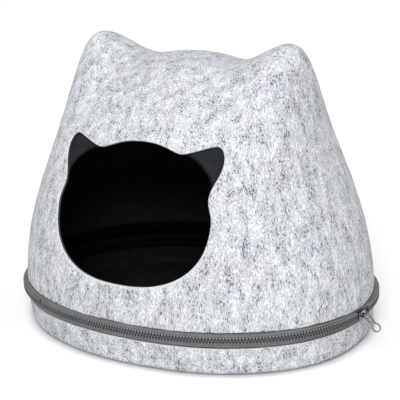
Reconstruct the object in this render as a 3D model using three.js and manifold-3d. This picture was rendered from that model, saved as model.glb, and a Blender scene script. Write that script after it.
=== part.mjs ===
// Felt cat house: a moulded hood with two cat-ear bumps and a cat-head doorway, zipped
// all the way round onto a shallow felt tray. Millimetres, +Z up. The doorway faces -Y,
// the ears stand towards +X and -X, and the underside of the tray lies at Z = 0.
import * as THREE from 'three';
import { mergeVertices } from 'three/addons/utils/BufferGeometryUtils.js';
import { ParametricGeometry } from 'three/addons/geometries/ParametricGeometry.js';
import Module from 'manifold-3d';

const wasm = await Module();
wasm.setup();

// ---------------------------------------------------------------- driving dimensions
const gap = 0.3; // between pieces that touch
const feltThickness = 4;
const liningThickness = 1;
const slices = 48; // facets round the oval

// The belt is the oval on which the hood's hem, the zip and the tray's rim meet.
const belt = { halfWidth: 200, halfDepth: 159, height: 41, squareness: 2.15 };

const hood = { hemHeight: belt.height + 6, crownHeight: 299, climbPower: 1.8, roundPower: 2.1, rows: 16 };
const ear = { x: 105.5, rise: 53, width: 32, depth: 65, lean: 0.37, liningSlack: 0.8 };

// The doorway is a cat's head seen from the front: chin, cheeks, two ears and a brow. The
// lining has no ears in its doorway, so it stands behind the shell's as a dark ground.
const head = { halfWidth: 93, centre: 153, chin: 66.5, chinPower: 2.5, chinSteps: 12, cutReach: 190 };
const cheekCurve = { ax: 93, az: 165, bx: 85.5, bz: 170, x: 87.5, z: 181 };
const earCurves = [
  // from the cheek up the outside of the ear, round its tip, down to the brow
  { ax: 88.8, az: 189, bx: 93.7, bz: 196, x: 93.7, z: 207 },
  { ax: 93.7, az: 218, bx: 90.5, bz: 224.5, x: 84.5, z: 224 },
  { ax: 75, az: 223, bx: 60, bz: 216, x: 50, z: 215.6 },
];
const templeCurve = { ax: 85.5, az: 197, bx: 70, bz: 210.6, x: 50, z: 215.6 };
const browCurve = { ax: 40, az: 215.6, bx: 24, bz: 226, x: 0, z: 226 };
// The brow is cut a little to one side: a shift that is largest at middle and fades with reach.
const browLean = { shift: 7, middle: 30, reach: 40, from: 160, full: 210 };
const doorwaySteps = 4;

const tray = { rimHeight: belt.height - 10.3, lean: 3, cornerRadius: 7.5, cornerSteps: 3, floor: 4 };

// Half of the zip seen in section: distance out from the belt, distance from its middle.
// Where the tape folds in over the felt, short is how far it stays from the felt's edge.
const tapeThickness = 1;
const tapeOuterLine = [
  { out: 3.2, from: 1 },
  { out: 2.4, from: 3.8 },
  { out: -0.4, short: 1.4 },
  { out: -4.6, short: 0.7 },
];
const tapeInnerLine = [
  { out: -5.6, short: 1.5 },
  { out: -0.9, short: 2.3 },
  { out: 1.6, from: 3.2 },
  { out: 2.2, from: 1 },
];
const sewnEdge = { from: 16, outOnHood: -5, outOnTray: -5.2 };
const liningClearance = 1; // between the lining's hem and the sewn edge of the zip
const teethSection = [
  { out: 3.7, from: 0.15 },
  { out: 5.4, from: 0.15 },
  { out: 5.2, from: 2.6 },
  { out: 4.3, from: 3.5 },
  { out: 2.85, from: 3.5 },
];
const teethOut = 5.4;
const toothlessStart = 1.7; // the teeth stop under the slider and start again past it
const toothlessEnd = 17;
const toothlessReach = 12; // enough to cover both rows' section

const slider = {
  facet: -1, length: 13, halfHeight: 5, plate: 1.2, flange: 1, flangeFoot: 2.7,
  backOut: 0.2, backPlate: 1, backHalfHeight: 3, postStart: 2, postLength: 2.5, postHalfHeight: 0.7,
};
const bridge = { length: 7, leg: 1.1, window: 4, halfHeight: 0.7 };
const pull = {
  thickness: 1.4, droop: 43, slip: 1.9, bar: 1, eyeLength: 10, eyeHalfWidth: 3.6, eyeHalfHole: 2.4,
  eyeHoleEnd: 4.4, windowStart: 5.5, windowEnd: 8.7, windowHalf: 2.2, shoulder: 0.8, neckHalfWidth: 3,
  ringCentre: 17.5, ringRadius: 5.1, ringHole: 4,
};

// ---------------------------------------------------------------- colours
const colours = {
  felt: { color: 0xc9ccd2, roughness: 0.95, metalness: 0 },
  lining: { color: 0x2a2c30, roughness: 0.95, metalness: 0 },
  tape: { color: 0x6c6d70, roughness: 0.8, metalness: 0 },
  teeth: { color: 0x77777c, roughness: 0.5, metalness: 0 },
  metal: { color: 0xc4c4c6, roughness: 0.3, metalness: 1 },
};

const cathouse = new THREE.Group();

function addPiece(name, solid, finish) {
  const piece = new THREE.Mesh(solid, new THREE.MeshStandardMaterial(finish));
  piece.name = name;
  cathouse.add(piece);
}

// ---------------------------------------------------------------- closed solids
// Merges shared corners, drops the flat triangles at the poles and turns faces outward.
function closeSolid(geometry) {
  geometry.deleteAttribute('normal');
  geometry.deleteAttribute('uv');
  const merged = mergeVertices(geometry, 1e-4);
  const place = merged.getAttribute('position');
  const corner = [new THREE.Vector3(), new THREE.Vector3(), new THREE.Vector3()];
  const kept = [];
  let volume = 0;
  for (let i = 0; i < merged.index.count; i += 3) {
    const ids = [0, 1, 2].map((step) => merged.index.getX(i + step));
    if (new Set(ids).size < 3) {
      continue;
    }
    ids.forEach((id, side) => corner[side].fromBufferAttribute(place, id));
    volume += corner[0].dot(corner[1].cross(corner[2]));
    kept.push(ids);
  }
  const outward = volume > 0 ? kept : kept.map(([a, b, c]) => [a, c, b]);
  merged.setIndex(outward.flat());
  return merged;
}

function toManifold(geometry) {
  const solid = closeSolid(geometry);
  return new wasm.Manifold(new wasm.Mesh({
    numProp: 3,
    vertProperties: Float32Array.from(solid.getAttribute('position').array),
    triVerts: Uint32Array.from(solid.index.array),
  }));
}

function toGeometry(manifold) {
  const mesh = manifold.getMesh();
  const geometry = new THREE.BufferGeometry();
  geometry.setAttribute('position', new THREE.BufferAttribute(mesh.vertProperties, mesh.numProp));
  geometry.setIndex(new THREE.BufferAttribute(mesh.triVerts, 1));
  return geometry;
}

// ---------------------------------------------------------------- the oval belt
function signedPower(value, power) {
  return Math.sign(value) * Math.abs(value) ** power;
}

// A point on the oval, moved out along the oval's own normal. One turn is the whole way round.
function beltPoint(turn, out) {
  const angle = 2 * Math.PI * turn;
  const x = belt.halfWidth * signedPower(Math.cos(angle), 2 / belt.squareness);
  const y = belt.halfDepth * signedPower(Math.sin(angle), 2 / belt.squareness);
  const normal = new THREE.Vector2(
    signedPower(x / belt.halfWidth, belt.squareness - 1) / belt.halfWidth,
    signedPower(y / belt.halfDepth, belt.squareness - 1) / belt.halfDepth,
  ).normalize();
  return new THREE.Vector2(x, y).addScaledVector(normal, out);
}

// A ring of constant section that follows the belt.
function beltRing(section) {
  const corners = section.length;
  const place = (turn, along, target) => {
    const corner = section[Math.round(along * corners) % corners];
    const point = beltPoint(turn, corner.out);
    target.set(point.x, point.y, corner.height);
  };
  return new ParametricGeometry(place, slices, corners);
}

// ---------------------------------------------------------------- the hood
// How much of an ear bump lifts this spot of the plain dome: 1 at an ear's middle, 0 far away.
function earShare(x, y) {
  return Math.exp(-(((Math.abs(x) - ear.x) / ear.width) ** 2) - (y / ear.depth) ** 2);
}

// The dome under the ears. climb runs from 0 at the belt to a quarter turn at the crown.
function domePoint(turn, climb) {
  const shrink = Math.max(Math.cos(climb), 0) ** (2 / hood.roundPower);
  const rise = Math.sin(climb) ** (2 / hood.climbPower);
  const onBelt = beltPoint(turn, 0).multiplyScalar(shrink);
  return new THREE.Vector3(onBelt.x, onBelt.y, belt.height + (hood.crownHeight - belt.height) * rise);
}

// The moulded outer surface, ears and all.
function hoodSurface(turn, climb) {
  const point = domePoint(turn, climb);
  const bump = ear.rise * earShare(point.x, point.y);
  point.x += Math.sign(point.x) * bump * ear.lean;
  point.z += bump;
  return point;
}

// The same surface moved in by a felt thickness or more, square to itself. The lining,
// which lies deeper than the felt, sits a little looser inside the ears.
function hoodPoint(turn, climb, inset) {
  const nudge = 1e-3;
  const top = Math.PI / 2;
  if (climb > top - nudge) {
    return new THREE.Vector3(0, 0, hoodSurface(0, top).z - inset);
  }
  const dome = domePoint(turn, climb);
  const slack = inset > feltThickness ? ear.liningSlack * Math.sqrt(earShare(dome.x, dome.y)) : 0;
  const round = hoodSurface(turn + nudge, climb).sub(hoodSurface(turn - nudge, climb));
  const upward = hoodSurface(turn, climb + nudge).sub(hoodSurface(turn, Math.max(climb - nudge, 0)));
  const normal = round.cross(upward).normalize();
  return hoodSurface(turn, climb).addScaledVector(normal, -inset - slack);
}

function climbAt(height) {
  const rise = (height - belt.height) / (hood.crownHeight - belt.height);
  return Math.asin(rise ** (hood.climbPower / 2));
}

// The lining hangs inside the shell and stops just above the zip's sewn edge. Its rows are
// the shell's own, and the shell has one more below them, at its hem.
const liningHemClimb = climbAt(belt.height + sewnEdge.from + liningClearance);
const liningClimbs = Array.from({ length: hood.rows + 1 }, (unused, row) => (
  THREE.MathUtils.lerp(liningHemClimb, Math.PI / 2, row / hood.rows)
));
const shellClimbs = [climbAt(hood.hemHeight), ...liningClimbs];

// A layer between two insets: down from the crown on one face, up again on the other.
// Faces of two layers that lie together both run up, so that their facets match.
function hoodLayer(climbs, insetGoingDown, insetGoingUp) {
  const rows = climbs.length;
  const place = (turn, along, target) => {
    const row = Math.round(along * (2 * rows - 1));
    const goingDown = row < rows;
    const climb = goingDown ? climbs[rows - 1 - row] : climbs[row - rows];
    target.copy(hoodPoint(turn, climb, goingDown ? insetGoingDown : insetGoingUp));
  };
  return new ParametricGeometry(place, slices, 2 * rows - 1);
}

// Right half of the cat's head, from the chin up to the brow, then mirrored.
function doorwayOutline(curves) {
  const half = [];
  for (let step = 0; step <= head.chinSteps; step += 1) {
    const angle = (Math.PI / 2) * (step / head.chinSteps);
    half.push(new THREE.Vector2(
      head.halfWidth * Math.sin(angle) ** (2 / head.chinPower),
      head.centre - head.chin * Math.cos(angle) ** (2 / head.chinPower),
    ));
  }
  for (const curve of curves) {
    const start = half.at(-1);
    const bend = new THREE.CubicBezierCurve(
      start,
      new THREE.Vector2(curve.ax, curve.az),
      new THREE.Vector2(curve.bx, curve.bz),
      new THREE.Vector2(curve.x, curve.z),
    );
    half.push(...bend.getPoints(doorwaySteps).slice(1));
  }
  const mirrored = half.slice(1, -1).reverse().map((point) => new THREE.Vector2(-point.x, point.y));
  return half.concat(mirrored).map(leanBrow);
}

function leanBrow(point) {
  const height = THREE.MathUtils.clamp((point.y - browLean.from) / (browLean.full - browLean.from), 0, 1);
  const nearness = Math.exp(-(((point.x - browLean.middle) / browLean.reach) ** 2));
  return new THREE.Vector2(point.x + browLean.shift * height * nearness, point.y);
}

function doorwayCutter(curves) {
  const block = new THREE.ExtrudeGeometry(new THREE.Shape(doorwayOutline(curves)), {
    depth: head.cutReach,
    bevelEnabled: false,
  });
  block.rotateX(Math.PI / 2); // the outline stands up and the cut runs towards -Y
  return toManifold(block);
}

const shellDoorway = doorwayCutter([cheekCurve, ...earCurves, browCurve]);
const shellLayer = hoodLayer(shellClimbs, 0, feltThickness);
addPiece('hood_shell', toGeometry(toManifold(shellLayer).subtract(shellDoorway)), colours.felt);

const liningDoorway = doorwayCutter([cheekCurve, templeCurve, browCurve]);
const liningInset = feltThickness + gap;
const liningLayer = hoodLayer(liningClimbs, liningInset + liningThickness, liningInset);
addPiece('hood_lining', toGeometry(toManifold(liningLayer).subtract(liningDoorway)), colours.lining);

// ---------------------------------------------------------------- the tray
// Section of the tray from the middle of its underside, up the wall and back inside.
function traySection() {
  const section = [{ spread: 0, out: 0, height: 0 }];
  const cornerOut = -tray.lean - tray.cornerRadius;
  const addCorner = (radius, inside) => {
    for (let step = 0; step <= tray.cornerSteps; step += 1) {
      const share = inside ? 1 - step / tray.cornerSteps : step / tray.cornerSteps;
      const angle = (Math.PI / 2) * share;
      section.push({
        spread: 1,
        out: cornerOut + radius * Math.sin(angle),
        height: tray.cornerRadius - radius * Math.cos(angle),
      });
    }
  };
  addCorner(tray.cornerRadius, false);
  section.push({ spread: 1, out: 0, height: tray.rimHeight });
  section.push({ spread: 1, out: -feltThickness, height: tray.rimHeight });
  addCorner(tray.cornerRadius - tray.floor, true);
  section.push({ spread: 0, out: 0, height: tray.floor });
  return section;
}

function trayShell() {
  const section = traySection();
  const stacks = section.length - 1;
  const place = (turn, along, target) => {
    const row = section[Math.round(along * stacks)];
    const point = beltPoint(turn, row.out).multiplyScalar(row.spread);
    target.set(point.x, point.y, row.height);
  };
  return closeSolid(new ParametricGeometry(place, slices, stacks));
}

addPiece('base_tray', trayShell(), colours.felt);

// ---------------------------------------------------------------- the zip
// side is 1 for the half sewn to the hood and -1 for the half sewn to the tray.
function tapeRing(side) {
  const edgeOut = side > 0 ? sewnEdge.outOnHood : sewnEdge.outOnTray;
  const feltEdge = side > 0 ? hood.hemHeight - belt.height : belt.height - tray.rimHeight;
  const line = [
    ...tapeOuterLine,
    { out: edgeOut, from: sewnEdge.from },
    { out: edgeOut - tapeThickness, from: sewnEdge.from },
    ...tapeInnerLine,
  ];
  return beltRing(line.map((corner) => ({
    out: corner.out,
    height: belt.height + side * (corner.from ?? feltEdge - corner.short),
  })));
}

// Stands the slider and its pull on the flat facet of the belt that carries them:
// local X runs along the zip, local Y points out, local Z up.
function facetPlacement(facet) {
  const start = beltPoint(facet / slices, 0);
  const end = beltPoint((facet + 1) / slices, 0);
  const along = end.clone().sub(start).normalize();
  const middle = start.clone().add(end).multiplyScalar(0.5);
  return new THREE.Matrix4().makeBasis(
    new THREE.Vector3(-along.x, -along.y, 0),
    new THREE.Vector3(along.y, -along.x, 0),
    new THREE.Vector3(0, 0, 1),
  ).setPosition(middle.x, middle.y, belt.height);
}

const sliderPlacement = facetPlacement(slider.facet);

function blockBetween(lowX, highX, lowY, highY, lowZ, highZ) {
  const block = new THREE.BoxGeometry(highX - lowX, highY - lowY, highZ - lowZ);
  block.translate((lowX + highX) / 2, (lowY + highY) / 2, (lowZ + highZ) / 2);
  return toManifold(block);
}

function placed(manifold) {
  return manifold.transform(sliderPlacement.toArray());
}

function teethRow(side) {
  const section = teethSection.map((corner) => ({
    out: corner.out,
    height: belt.height + side * corner.from,
  }));
  const reach = toothlessReach;
  const toothless = placed(blockBetween(-toothlessEnd, -toothlessStart, -reach, reach, -reach, reach));
  return toGeometry(toManifold(beltRing(section)).subtract(toothless));
}

const halves = [
  { name: 'upper', side: 1 },
  { name: 'lower', side: -1 },
];
for (const half of halves) {
  addPiece(`zip_tape_${half.name}`, closeSolid(tapeRing(half.side)), colours.tape);
  addPiece(`zip_teeth_${half.name}`, teethRow(half.side), colours.teeth);
}

// Front plate with turned-in flanges, a post between the tapes, a plate behind them and
// a bridge over the front that the pull hangs in.
function sliderBody() {
  const halfLength = slider.length / 2;
  const halfBridge = bridge.length / 2;
  const plateOut = teethOut + gap;
  const faceOut = plateOut + slider.plate;
  const archOut = faceOut + bridge.window;
  const archTop = archOut + bridge.leg;
  const backFace = slider.backOut + slider.backPlate;
  const postEnd = slider.postStart + slider.postLength;
  const footEdge = slider.halfHeight - slider.flange;
  const legEdge = halfBridge - bridge.leg;
  const { halfHeight, flangeFoot, backOut, backHalfHeight, postStart, postHalfHeight } = slider;
  const blocks = [
    blockBetween(-halfLength, halfLength, plateOut, faceOut, -halfHeight, halfHeight),
    blockBetween(-halfLength, halfLength, flangeFoot, faceOut, footEdge, halfHeight),
    blockBetween(-halfLength, halfLength, flangeFoot, faceOut, -halfHeight, -footEdge),
    blockBetween(-halfLength, halfLength, backOut, backFace, -backHalfHeight, backHalfHeight),
    blockBetween(-postEnd, -postStart, backOut, faceOut, -postHalfHeight, postHalfHeight),
    blockBetween(-halfBridge, halfBridge, archOut, archTop, -bridge.halfHeight, bridge.halfHeight),
    blockBetween(legEdge, halfBridge, plateOut, archTop, -bridge.halfHeight, bridge.halfHeight),
    blockBetween(-halfBridge, -legEdge, plateOut, archTop, -bridge.halfHeight, bridge.halfHeight),
  ];
  return toGeometry(placed(wasm.Manifold.union(blocks)));
}

addPiece('zip_slider', sliderBody(), colours.metal);

// The pull: an eye round the bridge, a square window, a flat neck and a ring, drooping away
// from the zip.
function pullTab() {
  const outline = new THREE.Shape();
  const meet = Math.sqrt(pull.ringRadius ** 2 - pull.neckHalfWidth ** 2);
  const meetAngle = Math.atan2(pull.neckHalfWidth, meet);
  const eyeEnd = pull.eyeLength - pull.bar / 2;
  outline.moveTo(-pull.bar / 2, -pull.eyeHalfWidth);
  outline.lineTo(eyeEnd, -pull.eyeHalfWidth);
  outline.lineTo(eyeEnd + pull.shoulder, -pull.neckHalfWidth);
  outline.absarc(pull.ringCentre, 0, pull.ringRadius, Math.PI + meetAngle, Math.PI - meetAngle, false);
  outline.lineTo(eyeEnd + pull.shoulder, pull.neckHalfWidth);
  outline.lineTo(eyeEnd, pull.eyeHalfWidth);
  outline.lineTo(-pull.bar / 2, pull.eyeHalfWidth);
  outline.closePath();
  const squareHole = (start, end, half) => {
    const hole = new THREE.Path();
    hole.moveTo(start, -half);
    hole.lineTo(start, half);
    hole.lineTo(end, half);
    hole.lineTo(end, -half);
    return hole;
  };
  const eye = squareHole(pull.bar / 2, pull.eyeHoleEnd, pull.eyeHalfHole);
  const window = squareHole(pull.windowStart, pull.windowEnd, pull.windowHalf);
  const ringHole = new THREE.Path();
  ringHole.absarc(pull.ringCentre, 0, pull.ringHole, 0, 2 * Math.PI, true);
  outline.holes.push(eye, window, ringHole);
  const tab = new THREE.ExtrudeGeometry(outline, {
    depth: pull.thickness,
    bevelEnabled: false,
    curveSegments: 14,
  });
  tab.translate(0, pull.slip, -pull.thickness / 2);
  // local X of the tab points out and down, its width stays in the upright plane
  const droop = THREE.MathUtils.degToRad(pull.droop);
  const stand = new THREE.Matrix4().makeBasis(
    new THREE.Vector3(0, Math.cos(droop), -Math.sin(droop)),
    new THREE.Vector3(0, Math.sin(droop), Math.cos(droop)),
    new THREE.Vector3(1, 0, 0),
  );
  const hingeOut = teethOut + gap + slider.plate + bridge.window / 2;
  stand.setPosition(0, hingeOut, 0);
  tab.applyMatrix4(stand);
  tab.applyMatrix4(sliderPlacement);
  return closeSolid(tab);
}

addPiece('zip_pull', pullTab(), colours.metal);

export default cathouse;
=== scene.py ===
import math

import bmesh
import bpy
from mathutils import Matrix, Vector, noise
from mathutils.bvhtree import BVHTree
from mathutils.kdtree import KDTree


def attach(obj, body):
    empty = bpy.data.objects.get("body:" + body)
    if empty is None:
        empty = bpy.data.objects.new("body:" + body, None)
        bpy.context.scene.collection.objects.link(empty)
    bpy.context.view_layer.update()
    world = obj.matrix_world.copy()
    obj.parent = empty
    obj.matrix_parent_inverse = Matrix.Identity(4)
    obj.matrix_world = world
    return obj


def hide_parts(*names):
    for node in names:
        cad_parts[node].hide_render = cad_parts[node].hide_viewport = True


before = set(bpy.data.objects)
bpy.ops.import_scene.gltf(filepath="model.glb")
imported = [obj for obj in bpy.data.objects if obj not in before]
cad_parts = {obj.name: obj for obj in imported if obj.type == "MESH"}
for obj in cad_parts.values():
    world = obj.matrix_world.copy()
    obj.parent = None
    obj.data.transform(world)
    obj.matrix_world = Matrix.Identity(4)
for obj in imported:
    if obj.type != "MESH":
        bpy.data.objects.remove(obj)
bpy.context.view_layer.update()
print("frame loaded")

# camera, at the angle from which the doorway and the zip's slider both show
view = {
    "azimuth": 31.54, "elevation": 16.45, "roll": -1.5,
    "distance": 1.381, "lens": 112.9, "sensor": 36, "sideways": 0.00475, "height": 0.1342,
}


def addObject(name, data):
    made = bpy.data.objects.new(name, data)
    bpy.context.collection.objects.link(made)
    return made


def makeCamera():
    azimuth, elevation, roll = (math.radians(view[key]) for key in ("azimuth", "elevation", "roll"))
    level = math.cos(elevation)
    back = Vector((math.sin(azimuth) * level, -math.cos(azimuth) * level, math.sin(elevation)))
    right = Vector((math.cos(azimuth), math.sin(azimuth), 0))
    target = right * view["sideways"] + Vector((0, 0, view["height"]))
    turned = Matrix.Rotation(roll, 3, back)
    side, up = turned @ right, turned @ back.cross(right)
    data = bpy.data.cameras.new("camera")
    data.lens = view["lens"]
    data.sensor_width = view["sensor"]
    camera = addObject("camera", data)
    place = Matrix((side, up, back)).transposed().to_4x4()
    place.translation = target + back * view["distance"]
    camera.matrix_world = place
    bpy.context.scene.camera = camera


makeCamera()
print("camera placed")

# the oval belt that carries the zip, and the hood above it
belt = {"halfWidth": 0.2, "halfDepth": 0.159, "height": 0.041, "squareness": 2.15, "length": 1.137}
frontTurn = 0.75  # where round the belt the doorway faces
touching = 1e-5  # points nearer than this are one point
hood = {
    "hem": 0.047, "crown": 0.299, "climbPower": 1.8, "roundPower": 2.1,
    "felt": 0.004, "lining": 0.001, "liningGap": 0.00005, "liningHem": 0.0585,
    "liningRound": 0.00025, "liningSteps": 2, "around": 288, "rows": 88, "rimRound": 0.0012, "rimSteps": 3,
}
ear = {"x": 0.1055, "rise": 0.053, "width": 0.032, "depth": 0.065, "lean": 0.37}
# the soft ears sag a little, and are not quite a pair: left one first
earShift = {"inward": (0.0021, 0), "sink": (0.0021, 0.0010)}
relief = {
    "wide": 0.0007, "wideSize": 0.07, "small": 0.00022, "smallSize": 0.011,
    "ragged": 0.0007, "raggedSize": 0.007, "raggedFade": 6,
}
# where the soft edges hang lower: the hood's hem over the slider, the tray's rim at the zip's join
hemSag = {"middle": -0.004, "reach": 0.03, "drop": 0.0026, "upTo": 0.075}
rimSag = {"middle": 0.62, "reach": 0.06, "drop": 0.0024}


def signedPower(value, power):
    return math.copysign(abs(value) ** power, value)


def beltPoint(turn, out=0.0):
    angle = 2 * math.pi * turn
    power = 2 / belt["squareness"]
    x = belt["halfWidth"] * signedPower(math.cos(angle), power)
    y = belt["halfDepth"] * signedPower(math.sin(angle), power)
    normal = Vector((
        signedPower(x / belt["halfWidth"], belt["squareness"] - 1) / belt["halfWidth"],
        signedPower(y / belt["halfDepth"], belt["squareness"] - 1) / belt["halfDepth"],
    )).normalized()
    return Vector((x, y)) + normal * out


def hoodSurface(turn, climb):
    shrink = max(math.cos(climb), 0) ** (2 / hood["roundPower"])
    rise = max(math.sin(climb), 0) ** (2 / hood["climbPower"])
    flat = beltPoint(turn) * shrink
    side = 0 if flat.x < 0 else 1
    centre = ear["x"] - earShift["inward"][side]
    share = math.exp(-(((abs(flat.x) - centre) / ear["width"]) ** 2) - (flat.y / ear["depth"]) ** 2)
    bump = (ear["rise"] - earShift["sink"][side]) * share
    x = flat.x + math.copysign(bump * ear["lean"], flat.x)
    return Vector((x, flat.y, belt["height"] + (hood["crown"] - belt["height"]) * rise + bump))


def unevenness(point):
    wide = noise.noise(point / relief["wideSize"]) * relief["wide"]
    return wide + noise.noise(point / relief["smallSize"]) * relief["small"]


def hoodPoint(turn, climb, inset):
    nudge = 1e-3
    top = math.pi / 2
    if climb > top - nudge:
        crown = hoodSurface(0, top)
        return crown + Vector((0, 0, unevenness(crown) - inset))
    here = hoodSurface(turn, climb)
    sideways = hoodSurface(turn + nudge, climb) - hoodSurface(turn - nudge, climb)
    upward = hoodSurface(turn, climb + nudge) - hoodSurface(turn, max(climb - nudge, 0))
    return here + sideways.cross(upward).normalized() * (unevenness(here) - inset)


def hump(turn, sag):
    # 1 at the sag's middle, fading on both sides round the belt
    away = (turn - sag["middle"] + 0.5) % 1 - 0.5
    return math.exp(-((away / sag["reach"]) ** 2))


def climbAt(height):
    share = (height - belt["height"]) / (hood["crown"] - belt["height"])
    return math.asin(share ** (hood["climbPower"] / 2))


# doorway: a cat's head in front view, x and z in metres, from the chin up the right side to the brow
doorway = {
    "halfWidth": 0.093, "centre": 0.153, "chin": 0.0665, "chinPower": 2.5, "chinSteps": 24, "curveSteps": 10,
    "windowTurns": (0.622, 0.878), "windowHeights": (0.066, 0.246), "rings": 6, "chinShare": 0.6,
}
cheekCurve = {"a": (0.093, 0.165), "b": (0.0848, 0.170), "end": (0.0868, 0.181)}
earCurves = [
    {"a": (0.0874, 0.1888), "b": (0.0934, 0.1960), "end": (0.0940, 0.2060)},
    {"a": (0.0944, 0.2158), "b": (0.0893, 0.2234), "end": (0.0832, 0.2234)},
    {"a": (0.074, 0.2226), "b": (0.056, 0.2158), "end": (0.0455, 0.2154)},
]
templeCurve = {"a": (0.0855, 0.197), "b": (0.067, 0.2104), "end": (0.0455, 0.2154)}
browCurve = {"a": (0.0365, 0.2154), "b": (0.023, 0.226), "end": (0.0, 0.226)}
browLean = {"lift": 0.0016, "shift": 0.007, "middle": 0.030, "reach": 0.040, "from": 0.160, "full": 0.210}
catHead = [cheekCurve, *earCurves, browCurve]
plainHead = [cheekCurve, templeCurve, browCurve]


def doorwayHalf(curves):
    half = []
    for step in range(doorway["chinSteps"] + 1):
        angle = math.pi / 2 * step / doorway["chinSteps"]
        power = 2 / doorway["chinPower"]
        half.append(Vector((
            doorway["halfWidth"] * math.sin(angle) ** power,
            doorway["centre"] - doorway["chin"] * max(math.cos(angle), 0) ** power,
        )))
    for curve in curves:
        start = half[-1]
        a, b, end = Vector(curve["a"]), Vector(curve["b"]), Vector(curve["end"])
        for step in range(1, doorway["curveSteps"] + 1):
            t = step / doorway["curveSteps"]
            rest = 1 - t
            half.append(start * rest ** 3 + a * 3 * t * rest ** 2 + b * 3 * t * t * rest + end * t ** 3)
    return half


def lineLengths(line):
    along = [0.0]
    for a, b in zip(line, line[1:]):
        along.append(along[-1] + (b - a).length)
    return along


def pointAlong(line, along, reach):
    segment = 0
    while segment < len(line) - 2 and along[segment + 1] < reach:
        segment += 1
    share = (reach - along[segment]) / (along[segment + 1] - along[segment])
    return line[segment].lerp(line[segment + 1], share)


def frontPlace(x, z):
    # the turn and climb at which the hood has this spot in front view, found step by step
    small, belowCrown, rounds = 1e-4, 0.01, 12
    turn, climb = frontTurn + x / belt["length"], climbAt(min(z, hood["crown"] - belowCrown))
    for _ in range(rounds):
        here = hoodSurface(turn, climb)
        byTurn = (hoodSurface(turn + small, climb) - here) / small
        byClimb = (hoodSurface(turn, climb + small) - here) / small
        missX, missZ = x - here.x, z - here.z
        det = byTurn.x * byClimb.z - byClimb.x * byTurn.z
        turn += (missX * byClimb.z - byClimb.x * missZ) / det
        climb += (byTurn.x * missZ - missX * byTurn.z) / det
    return turn, climb


def doorwaySpots(curves, border, low, high):
    # each point of the window's border gets its own point of the doorway's edge, matched from
    # the chin to the lower corner, up to the ear's tip, and along the brow
    half = doorwayHalf(curves)
    along = lineLengths(half)
    chin = along[round(doorway["chinSteps"] * doorway["chinShare"])]
    tip = along[min(range(len(half)), key=lambda i: -half[i].x - half[i].y)]
    marks = (0.0, chin, tip, along[-1])
    atBorder = 1e-4
    spots = []
    middle = sum(v.co.x for v in border) / len(border)
    wide = max(v.co.x for v in border) - middle
    for v in border:
        across, up = abs(v.co.x - middle) / wide, (v.co.y - low) / (high - low)
        if up < atBorder:
            leg, share = 0, across
        elif up > 1 - atBorder:
            leg, share = 2, 1 - across
        else:
            leg, share = 1, up
        spot = pointAlong(half, along, marks[leg] + (marks[leg + 1] - marks[leg]) * share)
        x = math.copysign(spot.x, v.co.x - middle)
        rise = min(max((spot.y - browLean["from"]) / (browLean["full"] - browLean["from"]), 0), 1)
        lift = browLean["lift"] * rise * min(max(x / browLean["reach"], 0), 1)
        x += browLean["shift"] * rise * math.exp(-(((x - browLean["middle"]) / browLean["reach"]) ** 2))
        spots.append((x, spot.y + lift))
    return spots


def closeUp(bm, near):
    bmesh.ops.remove_doubles(bm, verts=bm.verts[:], dist=near)
    bmesh.ops.recalc_face_normals(bm, faces=bm.faces[:])


def hoodSheet(curves, hemHeight, inset, thickness):
    bm = bmesh.new()
    around, rows = hood["around"], hood["rows"]
    bmesh.ops.create_grid(bm, x_segments=around, y_segments=rows, size=0.5)
    hemClimb = climbAt(hemHeight)
    top = math.pi / 2
    wide, high = belt["length"], hood["crown"]
    for v in bm.verts:
        v.co = ((v.co.x + 0.5) * wide, (v.co.y + 0.5) * high, 0)

    def flatHeight(climb):
        return (climb - hemClimb) / (top - hemClimb) * high

    # a window is cut out of the flat sheet and filled again, ring by ring, up to the doorway's edge
    left, right = (round(turn * around) / around * wide for turn in doorway["windowTurns"])
    low, up = (round(flatHeight(climbAt(z)) / high * rows) / rows * high for z in doorway["windowHeights"])
    window = []
    for face in bm.faces:
        middle = face.calc_center_median()
        if left < middle.x < right and low < middle.y < up:
            window.append(face)
    bmesh.ops.delete(bm, geom=window, context="FACES")
    edges = []
    for edge in bm.edges:
        middle = (edge.verts[0].co + edge.verts[1].co) / 2
        across = left - touching < middle.x < right + touching
        if edge.is_boundary and across and low - touching < middle.y < up + touching:
            edges.append(edge)
    border = {v for e in edges for v in e.verts}
    ring = bmesh.ops.extrude_edge_only(bm, edges=edges)["geom"]
    rim = [v for v in ring if isinstance(v, bmesh.types.BMVert)]
    for v, (x, z) in zip(rim, doorwaySpots(curves, rim, low, up)):
        turn, climb = frontPlace(x, z)
        v.co = (turn * wide, flatHeight(climb), 0)
    inRim = set(rim)
    spokes = []
    for edge in bm.edges:
        if sum(v in inRim for v in edge.verts) == 1 and sum(v in border for v in edge.verts) == 1:
            spokes.append(edge)
    bmesh.ops.subdivide_edges(bm, edges=spokes, cuts=doorway["rings"], use_grid_fill=True)

    for v in bm.verts:
        turn, climb = v.co.x / wide, hemClimb + v.co.y / high * (top - hemClimb)
        v.co = hoodPoint(turn, climb, inset)
        nearHem = max(hemSag["upTo"] - v.co.z, 0) / (hemSag["upTo"] - hood["hem"])
        v.co.z -= hemSag["drop"] * hump(turn, hemSag) * nearHem * nearHem
        frayed = noise.noise(v.co / relief["raggedSize"]) * nearHem ** relief["raggedFade"]
        v.co.z += relief["ragged"] * frayed
    closeUp(bm, touching)
    outerFace = BVHTree.FromBMesh(bm)
    bmesh.ops.solidify(bm, geom=bm.faces[:], thickness=thickness)
    return bm, outerFace


def toMesh(name, bm):
    mesh = bpy.data.meshes.new(name)
    bm.to_mesh(mesh)
    bm.free()
    return mesh


def sharpEdges(bm, angle=1.0):
    return [e for e in bm.edges if len(e.link_faces) == 2 and e.calc_face_angle() > angle]


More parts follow.
